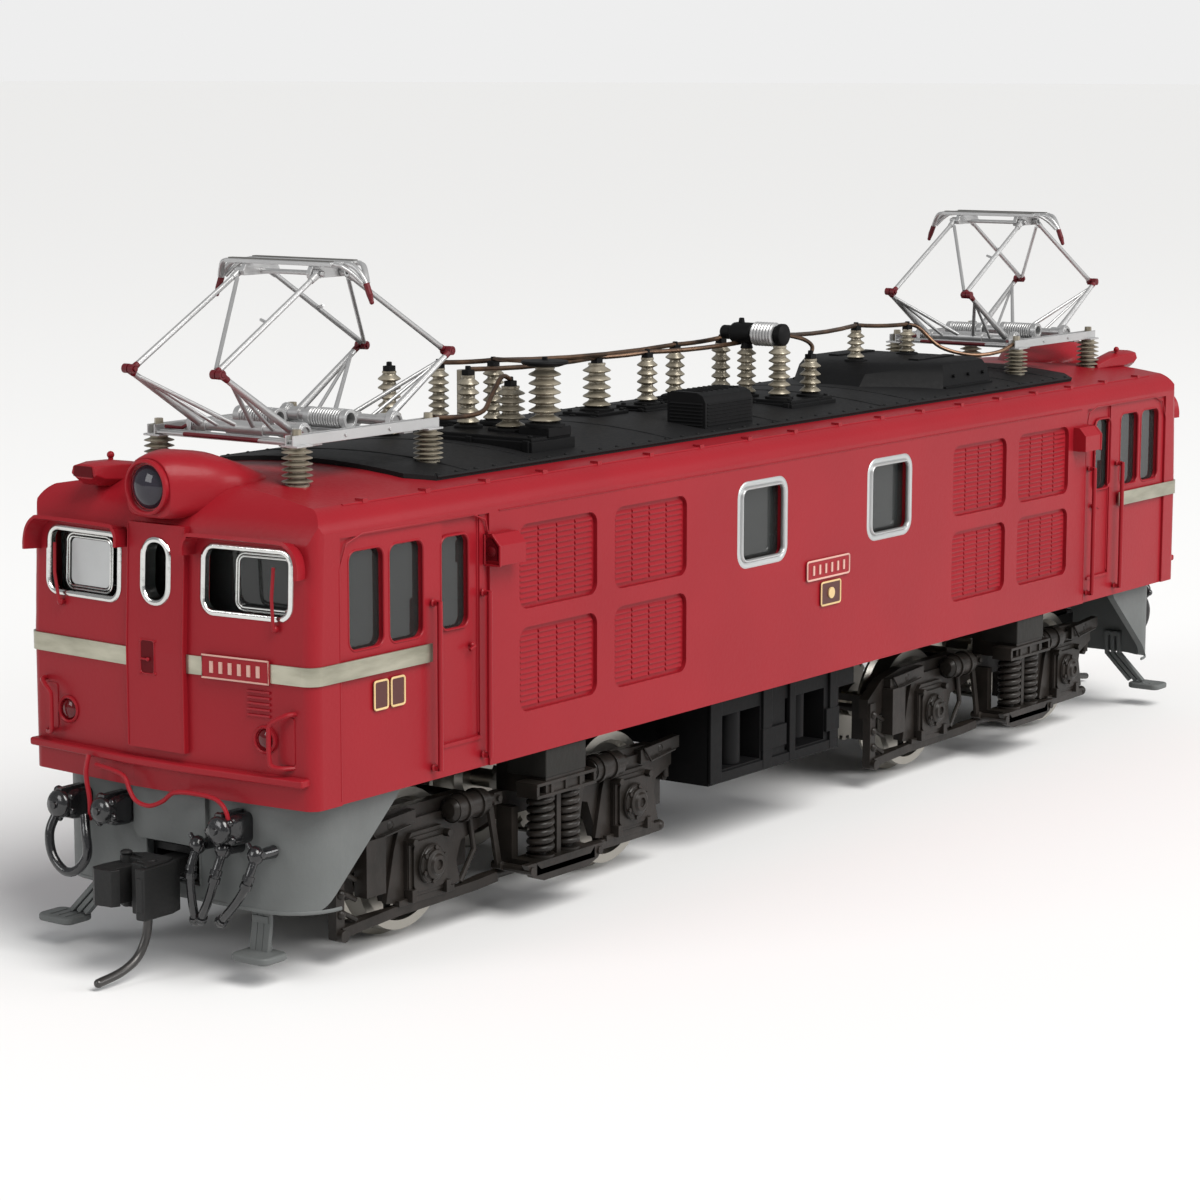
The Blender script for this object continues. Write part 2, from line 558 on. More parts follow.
def front_windows():
    """Bright beads and deep liners of the cab front's windows, sliding sashes, blinds and wipers."""
    chrome = Shape()

    def bead_and_liner(y, z, width, height, radius, depth):
        def ring(slim, out):
            outline = rounded(width - slim, height - slim, radius, (y, z), 8)
            return [on_front(u, v, out) for u, v in outline]
        chrome.sweep(ring(0, 0.02), 0.28, 0.17, loop=True, up=(1, 0, 0))
        liner = ((0.02, 0.0), (0.06, -depth), (0.24, -depth), (0.24, 0.0))
        chrome.skin([ring(slim, out) for slim, out in liner], loop=True)

    for y in (-CAB_WINDOW_Y, CAB_WINDOW_Y):
        bead_and_liner(y, CAB_WINDOW_Z, CAB_WINDOW_WIDE, CAB_WINDOW_HIGH, 1.25, 0.7)
    bead_and_liner(0, 37.3, 3.15, 5.75, 1.5, 1.5)
    # sliding sashes, a double wire of bright metal behind the glass line
    for middle, wide in ((-11.6, 6.2), (9.8, 6.3)):
        for size in (0.0, -0.55):
            outline = rounded(wide + size, 5.15 + size, 0.9 + size / 2, (middle, SASH_Z), 6)
            chrome.sweep([on_front(u, v, -0.55) for u, v in outline], 0.10, 0.10, loop=True, up=(1, 0, 0))
    chrome.turned().done("cab_window_frames", "body", CHROME, "nickel_trim")
    shape = Shape()
    blind = rounded(5.3, 4.3, 0.6, (9.8, SASH_Z))
    shape.skin([[on_front(u, v, -depth) for u, v in blind] for depth in (0.85, 0.65)])
    shape.turned().done("cab_blinds", "body", SATIN, "nickel_trim")
    shape = Shape()
    for y, lean in ((-13.5, 0.1), (12.9, 0.5)):
        blade = ((0.0, 33.3, 0.55), (1.0, 36.0, 0.7), (1.6, 38.7, 0.45))
        shape.sweep([on_front(y + part * lean, z, out) for part, z, out in blade], 0.20, 0.11, sides=8,
                    up=(1, 0, 0))
        shape.ball(on_front(y, 33.2, 0.35), 0.36, (1, 0, 0), 0.8, 12)
        shape.rod(on_front(y, 33.2, -0.2), on_front(y, 33.2, 0.4), 0.2)
    shape.turned().done("wiper_arms", "body", RED, "body_paint", ["wipers"])


def lamp_outline(half, top, foot, count=32):
    """Section of a lamp fairing: an arch above and a flat foot with round corners below."""
    middle = foot + 0.42 * (top - foot)
    points = []
    for i in range(count):
        angle = 2 * math.pi * i / count
        u, v = math.cos(angle), math.sin(angle)
        power, reach = (0.85, top - middle) if v > 0 else (0.45, middle - foot)
        points.append((math.copysign(half * abs(u)**power, u),
                       middle + math.copysign(reach * abs(v)**power, v)))
    return points


def headlights():
    """A round lamp in a fairing that swells back into the roof, and the tail lamps' rims and lenses."""
    shape = Shape()
    sections = ((87.5, 2.68, 47.7, 42.4), (87.3, 2.85, 47.85, 42.25), (86.0, 3.5, 48.1, 42.1),
                (84.2, 4.7, 48.2, 42.2), (81.6, 5.6, 47.85, 42.8), (79.0, 5.4, 46.95, 43.5),
                (76.4, 4.3, 45.9, 44.1), (74.4, 2.6, 45.25, 44.5))
    shape.skin([[(-x, y, z) for y, z in lamp_outline(half, top, foot)] for x, half, top, foot in sections])
    rim = ((2.5, -0.2), (2.55, 1.62), (2.42, 1.75), (2.26, 1.75), (2.2, 1.6), (2.2, 0.8), (1.6, 0.6),
           (1.6, -0.2))
    shape.lathe(rim, (-86.3, 0, HEADLIGHT_Z), (-1, 0, 0), 36, loop=True)
    tail_rim = ((0.98, -0.2), (1.28, -0.2), (1.3, 0.22), (1.18, 0.34), (1.04, 0.26))
    tail_places = [on_front(hand * TAIL_LAMP_Y, TAIL_LAMP_Z) for hand in (-1, 1)]
    for place in tail_places:
        shape.lathe(tail_rim, place, (-1, 0, 0), 28, loop=True)
    shape.turned().done("lamp_fairings", "body", RED, "body_paint", ["headlight_housings"], angle=40)
    shape = Shape()
    lens = ((0.05, 1.1), (0.8, 1.03), (1.5, 0.75), (1.95, 0.38), (2.16, 0.02), (2.16, -0.1), (0.05, -0.1))
    shape.lathe(lens, (-87.2, 0, HEADLIGHT_Z), (-1, 0, 0), 32)
    shape.turned().done("headlight_lenses", "body", LENS, "lamp_clear", ["lamp_lenses"])
    shape = Shape()
    ring = ((2.02, 0.1), (2.2, 0.1), (2.2, 0.32), (2.08, 0.36))
    shape.lathe(ring, (-87.2, 0, HEADLIGHT_Z), (-1, 0, 0), 36, loop=True)
    shape.turned().done("headlight_rings", "body", CHROME, "nickel_trim")
    shape = Shape()
    for place in tail_places:
        shape.lathe(((0.05, 0.36), (0.5, 0.30), (0.85, 0.16), (1.0, 0.0), (1.0, -0.2), (0.05, -0.2)),
                    place, (-1, 0, 0), 22)
    shape.turned().done("tail_lamp_lenses", "body", TAIL, "lamp_clear")


def whistles():
    """Scoop-shaped whistle hood beside one headlight and its valve stub."""
    shape = Shape()
    arch = ((-1, 0.3), (-0.85, 0.85), (-0.4, 1), (0.4, 1), (0.85, 0.85), (1, 0.3), (0.6, 0), (-0.6, 0))
    sections = ((86.1, 1.6, 46.3, 45.0), (85.0, 1.75, 46.45, 44.3), (82.4, 1.6, 46.4, 44.0),
                (79.6, 1.2, 46.0, 44.2), (77.0, 0.6, 45.2, 44.3))
    shape.skin([[(-x, 9.5 + half * u, foot + (top - foot) * v) for u, v in arch]
                for x, half, top, foot in sections])
    shape.rod((-81.8, 10.2, 44.4), (-81.8, 10.2, 46.7), 0.28, 0.24)
    shape.ball((-81.8, 10.2, 46.75), 0.36)
    shape.turned().done("whistle_hoods", "body", RED, "body_paint", ["whistles"], 0.12)
    shape = Shape()
    shape.prism([(8.25, 45.15), (10.75, 45.15), (10.6, 46.12), (8.4, 46.12)], "X", -86.15, -85.7)
    shape.turned().done("whistle_mouths", "body", DEEP_RED, "body_paint")


def front_fittings():
    """Ledge, grab irons, louvre bars, door pocket and handle, door seams and pipes of the cab front."""
    shape = Shape()
    for hand in (-1, 1):
        iron = [on_front(hand * y, z, out) for y, z, out in
                ((15.5, 25.7, -0.2), (15.2, 25.7, 0.7), (14.4, 25.3, 1.1), (13.6, 24.7, 1.2),
                 (13.5, 24.0, 1.2), (13.5, 21.8, 1.2), (13.7, 21.0, 1.1), (14.6, 20.8, 0.7),
                 (15.3, 20.8, -0.2))]
        shape.sweep(smooth(iron, 4), 0.23, sides=8)
        pad = rounded(1.7, 4.3, 0.3, (hand * 14.6, 23.2), 3)
        shape.skin([[on_front(u, v, out) for u, v in pad] for out in (-0.1, 0.09)])
    for i in range(5):
        z = 25.2 + 0.54 * i
        shape.sweep([on_front(-10.3, z, 0.10), on_front(-12.8, z, 0.10)], 0.11, 0.13, sides=8)
    for y, z in ((1.75, 30.9), (0.0, 30.9), (0.0, 27.9), (1.75, 27.9)):
        shape.ball(on_front(y, z, 0.0), 0.16, sides=8)
    pocket = rounded(1.7, 3.1, 0.35, (0.9, 29.4), 4)
    shape.sweep([on_front(u, v, 0.02) for u, v in pocket], 0.07, 0.07, sides=8, loop=True, up=(1, 0, 0))
    shape.rod(on_front(0.75, 29.2, 0.14), on_front(1.6, 29.2, 0.14), 0.10)
    shape.ball(on_front(0.75, 29.2, 0.14), 0.2, (1, 0, 0), 0.7, 10)
    for y in (-DOOR_HALF, DOOR_HALF):
        seam = [(-door_x(z) - 0.02, y, z) for z in (21.0, 25.0, 30.0, 35.0, 41.4)]
        shape.sweep(seam, 0.09, 0.09, sides=6, up=(0, 1, 0))
    drop = [(-87.6, 8.2, 19.5), (-88.1, 8.1, 17.8), (-88.0, 7.8, 15.4), (-87.8, 8.0, 13.4)]
    shape.sweep(smooth(drop), 0.23, sides=10)
    cross = [(-87.7, 7.2, 18.7), (-87.9, 4.8, 18.5), (-88.0, 3.3, 18.1), (-88.1, 2.6, 17.0),
             (-88.2, 1.7, 16.1), (-88.1, 0.2, 15.8), (-88.0, -1.4, 16.4), (-88.0, -2.9, 17.4),
             (-87.9, -5.5, 17.6), (-87.9, -7.9, 17.4), (-87.9, -9.1, 16.4), (-87.9, -9.4, 14.6)]
    shape.sweep(smooth(cross), 0.21, sides=10)
    shape.turned().done("front_fittings", "body", RED, "pipe_red", ["front_pipes"])
    shape = Shape()
    ledge = [on_front(y, 19.6, 0.3) for y in (-16.9, -10, -DOOR_HALF - 0.01, DOOR_HALF + 0.01, 10, 16.9)]
    shape.sweep(ledge, 0.72, 0.38, square=True)
    shape.turned().done("front_ledges", "body", RED, "body_paint", bevel=0.22)
    visors()
    shape = Shape()
    shape.prism(pocket, "X", -87.17, -86.9)
    shape.turned().done("door_handle_pockets", "body", DEEP_RED, "body_paint")


def visors():
    """Sun visors: a strip over each cab window that turns down at both ends."""
    shape = Shape()
    edge = ((4.1, 39.2), (4.1, 40.1), (4.5, 40.75), (5.6, 40.95), (14.0, 40.95), (15.4, 40.7), (16.2, 39.9),
            (16.5, 38.8), (16.5, 37.9))
    for hand in (-1, 1):
        # the curve is drawn flat, at x = 0, and then laid on the cab front
        strip = smooth([(0, hand * y, z) for y, z in edge], 5)
        shape.sweep([on_front(y, z, 0.8) for _, y, z in strip], 0.17, 0.95, square=True, up=(1, 0, 0))
    shape.turned().done("visor_strips", "body", RED, "body_paint", ["sun_visors"], 0.12, 50)


# ---------------------------------------------------------------- roof
# Posts as x, y, foot, height, radius and number of sheds; trays as their x and y spans and top.
POSTS = ((-40.4, -9.3, 47.2, 5.9, 1.65, 6), (-40.4, -5.0, 46.4, 4.5, 1.5, 5), (-40.4, 0.4, 46.4, 5.3, 1.15, 5),
         (-34.9, 1.4, 46.3, 5.9, 1.1, 6), (-34.9, 8.6, 46.3, 5.3, 1.1, 6), (-15.4, 2.4, 46.0, 5.1, 1.55, 5),
         (-8.5, 0.6, 46.2, 5.1, 1.15, 5), (-0.4, 2.5, 46.3, 5.2, 1.1, 5), (8.8, 2.5, 46.3, 5.4, 1.1, 5),
         (7.4, -1.9, 46.0, 5.6, 1.1, 6), (7.4, -6.3, 46.0, 5.9, 1.25, 6), (11.8, -7.6, 46.0, 4.2, 1.2, 4),
         (34.0, 0.0, 48.0, 3.7, 1.05, 4), (46.0, 0.0, 48.0, 3.1, 1.0, 4), (-43.2, 8.4, 45.0, 6.9, 1.2, 7))
TRAYS = (((-45.2, -38.0), (-11.3, 3.0), 46.4), ((-36.4, -33.4), (-0.2, 10.4), 46.3),
         ((-18.9, -12.6), (-0.4, 5.0), 46.0), ((-11.2, -6.0), (-1.2, 3.4), 46.2),
         ((-2.2, 10.6), (0.6, 4.4), 46.3), ((5.2, 14.5), (-9.4, -0.6), 46.0))


def insulator(shape, place, height, radius, sheds):
    """A post insulator: bell-shaped sheds on a core, with flanged ends."""
    pitch, core = (height - 0.5) / sheds, radius * 0.56
    profile = [(0.02, 0), (radius * 0.78, 0), (radius * 0.78, 0.22), (core, 0.26)]
    for i in range(sheds):
        z = 0.25 + i * pitch
        profile += [(core, z + 0.10 * pitch), (radius * 0.93, z + 0.30 * pitch), (radius, z + 0.38 * pitch),
                    (radius * 0.95, z + 0.50 * pitch), (core * 1.12, z + 0.82 * pitch),
                    (core, z + 0.95 * pitch)]
    profile += [(core, height - 0.25), (core * 1.1, height - 0.2), (core * 1.1, height), (0.02, height)]
    shape.lathe(profile, place, (0, 0, 1), 26)


def roof_insulators():
    """Post insulators with their bus clamps, and the eight that carry the pantographs."""
    shape, clamps = Shape(), Shape()
    for x, y, foot, height, radius, sheds in POSTS:
        insulator(shape, (x, y, foot), height, radius, sheds)
        head = foot + height
        clamps.block((x - 0.55, x + 0.55), (y - 0.42, y + 0.42), (head - 0.1, head + 0.55))
        clamps.rod((x, y, head), (x, y, head + 0.95), 0.34, 0.3, 6)
        flange = [(radius + 0.35, -0.1), (radius + 0.35, 0.25), (radius * 0.8, 0.4)]
        clamps.lathe(flange, (x, y, foot), (0, 0, 1), 24)
    shape.rod((-34.9, 5.0, 46.3), (-34.9, 5.0, 51.6), 0.95, sides=24)
    shape.done("post_insulators", "body", CLAY, "insulator", ["roof_insulators"])
    # flat disc on the first post
    x, y, foot, height = POSTS[0][:4]
    clamps.lathe([(0.05, 0), (1.5, 0), (2.3, 0.25), (2.42, 0.42), (2.3, 0.58), (0.05, 0.7)],
                 (x, y, foot + height), (0, 0, 1), 32)
    clamps.done("bus_clamps", "body", BLACK, "roof_black", bevel=0.06)
    shape = Shape()
    for side in (-1, 1):
        for x in (-9.5, 9.5):
            for y in (-8.54, 8.54):
                spot = side * 67.5 + x
                foot = (deck_z if abs(spot) < 65.3 else roof_z)(y) - 0.12
                insulator(shape, (spot, y, foot), 48.4 - foot, 1.45, 6)
                shape.rod((spot, y, 48.3), (spot, y, 49.9), 0.5, 0.42, 6)
    shape.done("pantograph_insulators", "body", CLAY, "insulator", ["panto_insulators"])


def roof_equipment():
    """Vent box and long hood, the trays under the posts, and the seams and rivets of the deck."""
    shape = Shape()
    # vent box with louvred faces and a shallow pitched lid
    x0, x1, y0, y1 = -15.8, -6.7, -12.0, -7.1
    shape.prism([(y0, 44.2), (y0, 47.6), (y0 + 0.35, 48.3), (y0 + 1.1, 48.65), (y1 - 0.5, 48.7), (y1, 48.3),
                 (y1, 44.2)], "X", x0, x1)
    for i in range(8):
        z = 44.75 + 0.37 * i
        shape.prism([(y0, z + 0.26), (y0 - 0.16, z + 0.05), (y0, z)], "X", x0 + 0.35, x1 - 0.35)
        shape.prism([(x0, z + 0.26), (x0 - 0.16, z + 0.05), (x0, z)], "Y", y0 + 0.35, y1 - 0.35)
        shape.prism([(y1, z + 0.26), (y1 + 0.16, z + 0.05), (y1, z)], "X", x0 + 0.35, x1 - 0.35)
    for i in range(8):
        x = x0 + 1.1 + 0.98 * i
        shape.block((x - 0.12, x + 0.12), (y0 + 1.1, y1 - 0.5), (48.6, 48.76))
    # long hood: blunt at the far end, a long nose towards the near one
    plans = ((44.3, ((27.0, 4.0), (36.5, 10.6), (48.2, 10.6), (49.2, 9.6))),
             (46.9, ((30.2, 3.6), (37.4, 10.1), (48.0, 10.1), (48.8, 9.3))),
             (47.8, ((32.0, 3.4), (38.0, 9.6), (47.6, 9.6), (48.2, 9.0))),
             (48.1, ((32.9, 3.2), (38.4, 8.8), (47.2, 8.8), (47.6, 8.4))))
    shape.skin([[(x, y, z) for x, y in plan] + [(x, -y, z) for x, y in reversed(plan)] for z, plan in plans])
    for y in (-5.6, 5.6):
        shape.block((38.0, 46.6), (y - 0.7, y + 0.7), (47.9, 48.3))
    for hand in (-1, 1):
        shape.block((37.0, 48.2), sorted((hand * 10.3, hand * 10.75)), (45.0, 45.3))
        for x in (39.5, 43.0, 46.5):
            shape.rod((x, hand * 10.2, 46.4), (x, hand * 10.55, 46.4), 0.22, sides=8)
    shape.done("roof_vents", "body", BLACK, "roof_black", ["roof_boxes"], 0.12, 30)
    shape = Shape()
    for xs, ys, top in TRAYS:
        low = deck_z(max(abs(y) for y in ys)) - 0.1
        shape.block(xs, ys, (low, top - 0.35))
        shape.block((xs[0] + 0.3, xs[1] - 0.3), (ys[0] + 0.3, ys[1] - 0.3), (low, top))
        for x in (xs[0] + 0.9, xs[1] - 0.9):
            for y in (ys[0] + 0.9, ys[1] - 0.9):
                shape.rod((x, y, top - 0.1), (x, y, top + 0.22), 0.3, sides=6)
        for y in (ys[0], (ys[0] + ys[1]) / 2):
            shape.block((xs[0] - 0.25, xs[0] + 0.1), (y + 0.3, y + 1.1), (low, top - 0.2))
    shape.block((-42.3, -38.5), (-11.2, -7.4), (46.2, 47.2))
    shape.block((-42.0, -38.8), (-6.7, -3.3), (46.2, 46.75))
    shape.done("equipment_bases", "body", BLACK, "roof_black", ["equipment_trays"], 0.14)
    # deck seams, edge tabs and rivets
    shape = Shape()
    for x in (-58.0, -47.0, -24.0, -3.5, 18.0, 25.5, 51.5, 60.0):
        arc = [(x, y, deck_z(y) + 0.02) for y in (-13.4, -10, -6, -2, 2, 6, 10, 13.4)]
        shape.sweep(arc, 0.16, 0.07, sides=6)
    for hand in (-1, 1):
        for i in range(44):
            x = -62.4 + 2.9 * i
            shape.ball((x, hand * 13.15, deck_z(13.15) + 0.02), 0.22, flat=0.6, sides=8)
        shape.sweep([(x, hand * 13.55, deck_z(13.55) - 0.12) for x in (-63.0, 63.0)], 0.2, 0.2, sides=8)
    shape.done("deck_rivets", "body", DECK, "roof_black")


# Straight bus bars as their two ends.
BARS = (((-34.9, 8.6, 52.2), (-34.9, 1.4, 52.8)), ((-34.9, 1.4, 52.8), (-0.4, 2.5, 52.1)),
        ((-0.4, 2.5, 52.1), (8.8, 2.5, 52.3)), ((-40.4, 0.4, 52.3), (-15.4, 2.4, 51.7)),
        ((-15.4, 2.4, 51.7), (-8.5, 0.6, 51.9)), ((-8.5, 0.6, 51.9), (7.4, -1.0, 52.0)),
        ((7.4, -6.3, 53.1), (34.0, 0.0, 52.3)), ((34.0, 0.0, 52.3), (46.0, 0.0, 51.7)))


def bus_bars():
    """Sagging bus bars between the posts and the bent wires at their ends."""
    shape = Shape()
    for start, end in BARS:
        a, b = Vector(start), Vector(end)
        sag = Vector((0, 0, -0.012 * (b - a).length))
        bar = [a + (b - a) * t + sag * 4 * t * (1 - t) for t in (0, 0.2, 0.4, 0.6, 0.8, 1)]
        shape.sweep(bar, 0.26, sides=10)
    loops = (((-40.4, -5.0, 51.6), (-42.6, -5.6, 52.0), (-45.6, -6.6, 50.4), (-48.2, -7.6, 49.2),
              (-52.0, -8.2, 49.0), (-57.0, -8.5, 49.3)),
             ((11.8, -7.6, 50.6), (12.1, -7.6, 51.6), (11.0, -7.2, 52.4), (8.6, -6.6, 53.0)),
             ((46.0, 0.0, 51.7), (47.2, -1.0, 51.2), (48.6, -3.2, 48.9), (51.2, -6.0, 47.9),
              (54.4, -7.9, 48.1), (57.2, -8.5, 48.9)),
             ((-40.4, -9.3, 53.4), (-37.6, -6.0, 53.2), (-34.9, 1.4, 52.9)))
    for points in loops:
        shape.sweep(smooth(points), 0.24, sides=10)
    shape.done("bus_wires", "body", COPPER, "copper", ["bus_bars"])


def breaker():
    """Air-blast breaker: a black chamber with a ribbed silver collar on two posts."""
    shape = Shape()
    axis, start = (0, -1, 0), (7.4, 1.4, 53.1)
    shape.lathe([(0.05, 0), (0.6, 0), (0.8, 0.2), (0.8, 1.4), (1.12, 1.6), (1.2, 2.0), (1.2, 4.2), (1.0, 4.4),
                 (1.0, 7.6), (1.25, 7.7), (1.25, 8.3), (0.9, 8.5), (0.05, 8.5)], start, axis, 26)
    for y in (-1.9, -6.3):
        shape.lathe([(0.75, -0.3), (0.6, 0.2), (0.55, 0.9), (0.9, 1.1)], (7.4, y, 51.7), (0, 0, 1), 16)
    shape.rod((7.4, -1.2, 54.2), (7.4, -1.2, 54.8), 0.4, 0.3, 8)
    shape.done("breaker_chamber", "body", BLACK, "roof_black", ["air_blast_breaker"], 0.08)
    shape = Shape()
    profile = [(0.95, 0)]
    for i in range(7):
        profile += [(1.32, 0.06 + 0.4 * i), (1.36, 0.2 + 0.4 * i), (1.22, 0.34 + 0.4 * i)]
    shape.lathe(profile + [(0.95, 2.8)], (7.4, -3.1, 53.1), axis, 26, loop=True)
    shape.done("breaker_collar", "body", SILVER, "pantograph_metal")


# ---------------------------------------------------------------- under the body
def at(side, x=0.0, turned=True):
    """Frame of a thing drawn for the -X end and x millimetres from the middle."""
    turn = Matrix.Rotation(math.pi if turned and side > 0 else 0.0, 4, "Z")
    return Matrix.Translation((side * x, 0, 0)) @ turn


def pilot_details():
    """Raised middle panel and rolled edges of each pilot, and the footsteps beside it."""
    shape = Shape()
    face = 85.2
    panel = [(-4.5, 17.0), (-4.5, 12.6), (-3.9, 11.95), (3.9, 11.95), (4.5, 12.6), (4.5, 17.0)]
    shape.prism(panel, "X", -face - 0.5, -face + 0.2)
    corner, half = 5.2, 15.8
    for hand in (-1, 1):
        shape.sweep([(-face + 0.02, hand * 3.35, z) for z in (8.3, 12.0)], 0.14, 0.14, sides=8)
        rim = [(-face + corner - corner * math.cos(a), hand * (half - corner + corner * math.sin(a)), 6.95)
               for a in (math.pi / 2 * i / 8 for i in range(9))]
        shape.sweep([(-face, hand * 3.4, 6.95)] + rim, 0.12, 0.2, sides=8)
    shape.turned().done("pilot_panels", "body", GREY, "grey_frame", bevel=0.3)
    # slotted step brackets with thick rounded treads
    shape = Shape()

    def tread(y):
        edge = ((2.3, -0.15), (2.45, 0.0), (2.85, 0.0), (3.0, -0.15))
        shape.skin([[(u, v, z) for u, v in rounded(3.6 + 2 * grow, 4.4 + 2 * grow, 0.9 + grow, (-85.0, y))]
                    for z, grow in edge])

    for y in (-10.5, -9.75, -9.0):
        bracket = [(-84.0, y, 9.8), (-84.0, y, 5.4), (-84.4, y, 2.9)]
        shape.sweep(bracket, 0.24, 0.36, square=True, up=(0, 1, 0))
    for z in (9.3, 5.9, 3.3):
        shape.sweep([(-84.05, -10.7, z), (-84.05, -8.8, z)], 0.30, 0.34, square=True)
    tread(-10.2)
    for y in (8.8, 9.7, 10.6):
        bracket = [(-84.0, y, 9.4), (-84.0, y + 0.1, 6.6), (-84.3, y + 3.4, 3.2)]
        shape.sweep(bracket, 0.24, 0.36, square=True, up=(1, 0, 0))
    shape.sweep([(-84.05, 8.6, 9.2), (-84.05, 10.8, 9.2)], 0.30, 0.34, square=True)
    tread(14.4)
    for y in (13.2, 14.2, 15.2):
        shape.block((-86.2, -83.9), (y - 0.12, y + 0.12), (2.95, 3.08))
    shape.turned().done("step_treads", "body", GREY, "grey_frame", ["footsteps"], 0.08)


def jumpers_and_hoses():
    """Lumpy jumper sockets with a looped cable, and three brake hoses that lean inwards."""
    shape = Shape()
    draws = random.Random(11)
    box = ((-85.1, 1.25), (-86.2, 1.3), (-87.4, 1.2), (-87.9, 1.0))
    for y, z, size in ((5.9, 14.6, 1.25), (11.4, 14.5, 1.35), (-8.6, 14.7, 1.3)):
        shape.skin([[(x, y + half * u, z - 0.1 + 1.35 * half / 1.2 * v) for u, v in rounded(2.0, 2.0, 0.45)]
                    for x, half in box])
        cap = [(0.05, 0), (size * 0.8, 0), (size, 0.25), (size, 0.7), (size * 0.8, 1.0), (size * 0.4, 1.1),
               (0.05, 1.1)]
        shape.lathe(cap, (-87.9, y, z), (-1, 0, 0.12), 20)
        shape.rod((-88.6, y, z), (-89.25, y, z + 0.06), 0.42, 0.3, 10)
        shape.block((-88.4, -85.4), (y - 0.35, y + 0.35), (z + 1.0, z + 1.55))
        for i in range(5):
            angle = 1.2 + 1.25 * i + draws.uniform(-0.2, 0.2)
            x = -88.0 + draws.uniform(-0.3, 0.3)
            shape.ball((x, y + size * math.cos(angle), z + size * math.sin(angle)), draws.uniform(0.3, 0.48),
                       sides=10)
    loop = [(-88.4, 11.6, 13.9), (-89.2, 11.9, 12.0), (-89.4, 11.4, 9.9), (-89.4, 9.9, 8.6),
            (-89.3, 8.3, 8.9), (-89.0, 7.3, 10.4), (-88.8, 7.6, 12.4), (-88.2, 8.3, 13.8)]
    shape.sweep(smooth(loop), 0.45, sides=12)
    shape.turned().done("jumper_sets", "body", GLOSS, "black_box", ["jumper_cables"], angle=50)
    shape = Shape()
    for y, reach, drop in ((-5.2, -0.2, 0.0), (-8.3, 2.2, 0.15), (-12.2, 3.6, 0.3)):
        top = Vector((-87.0, y, 12.7))
        shape.rod((-85.1, y, 12.7), (-87.4, y, 12.7), 0.62, 0.5, 12)
        shape.ball(top + Vector((-0.5, 0, 0.1)), 0.78, (0.3, 0.2, 1), 1.15, 14)
        shape.rod(top + Vector((-0.5, 0.5, 0.5)), top + Vector((-0.4, 1.0, 1.0)), 0.28, 0.22, 8)
        shape.rod(top + Vector((-0.4, -0.9, 0.2)), top + Vector((-0.4, 0.9, 0.0)), 0.32, 0.32, 8)
        line = [top + Vector((-0.5, 0, 0)), (-88.3, y, 11.3), (-88.6, y + 0.10 * reach, 9.9),
                (-88.5, y + 0.45 * reach, 8.0 + drop), (-88.3, y + 0.85 * reach, 6.6 + drop),
                (-88.1, y + 1.02 * reach, 6.0 + drop)]
        path = smooth(line)
        shape.sweep(path, 0.42, sides=12)
        for i in (7, 10):
            shape.rod(path[i], path[i + 2], 0.56, 0.56, 12)
        shape.rod(path[-4], path[-1], 0.55, 0.5, 10)
        shape.ball(path[-1] + Vector((0, 0.15, -0.1)), 0.52, (0, 1, 0.4), 1.25, 10)
    shape.turned().done("brake_hoses", "body", GLOSS, "black_box", ["air_hoses"], angle=50)


